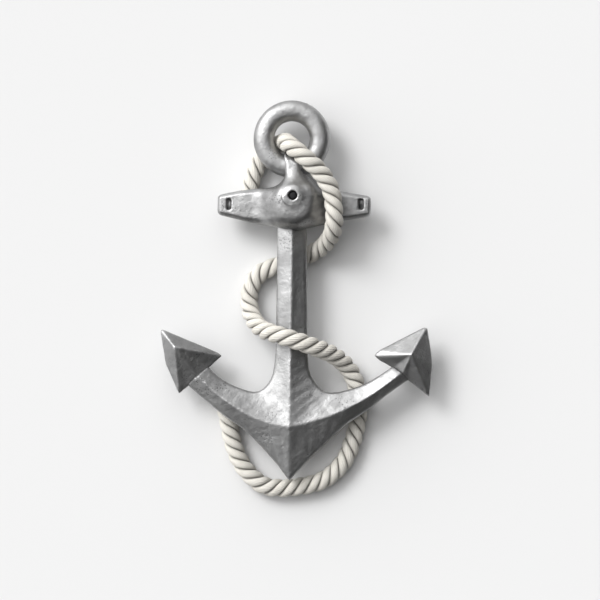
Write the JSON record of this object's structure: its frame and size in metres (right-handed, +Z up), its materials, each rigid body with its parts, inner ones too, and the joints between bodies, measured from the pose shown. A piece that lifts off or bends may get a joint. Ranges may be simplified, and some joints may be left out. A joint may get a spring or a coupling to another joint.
{
  "type": "anchor with rope",
  "caption": "Stocked anchor with barbed flukes, a thick ring in the eye above its stock, and a laid rope rove through the ring and wound round the shank and arms.",
  "frame": {"origin": "middle of the anchor's box, without its rope, at the ground it lies on", "axes": "+X along the stock, +Y along the shank to the ring, +Z up, away from the ground"},
  "size_m": [0.5994, 0.8753, 0.1355],
  "materials": {
    "forged_iron": "forged, worn grey, darker in the hollows",
    "ring_iron": "forged and rubbed bright by the rope",
    "pin_steel": "dark, dull pin end",
    "rope_fibre": "pale natural fibre, laid in strands",
    "whipping_twine": "waxed twine"
  },
  "bodies": {
    "anchor": {"shank_and_arms": "forged_iron", "fluke_left": "forged_iron", "fluke_right": "forged_iron", "stock": "forged_iron", "stock_pin": "pin_steel", "rope": "rope_fibre", "rope_whipping_upper": "whipping_twine", "rope_whipping_lower": "whipping_twine"},
    "ring": {"ring": "ring_iron"}
  },
  "joints": [
    {"name": "ring_swing", "type": "hinge", "parent": "anchor", "child": "ring", "pos_m": [-0.01015, 0.27205, 0.064], "axis": [1, 0, 0], "range_deg": [0, 50], "deforming": ["rope"]}
  ]
}
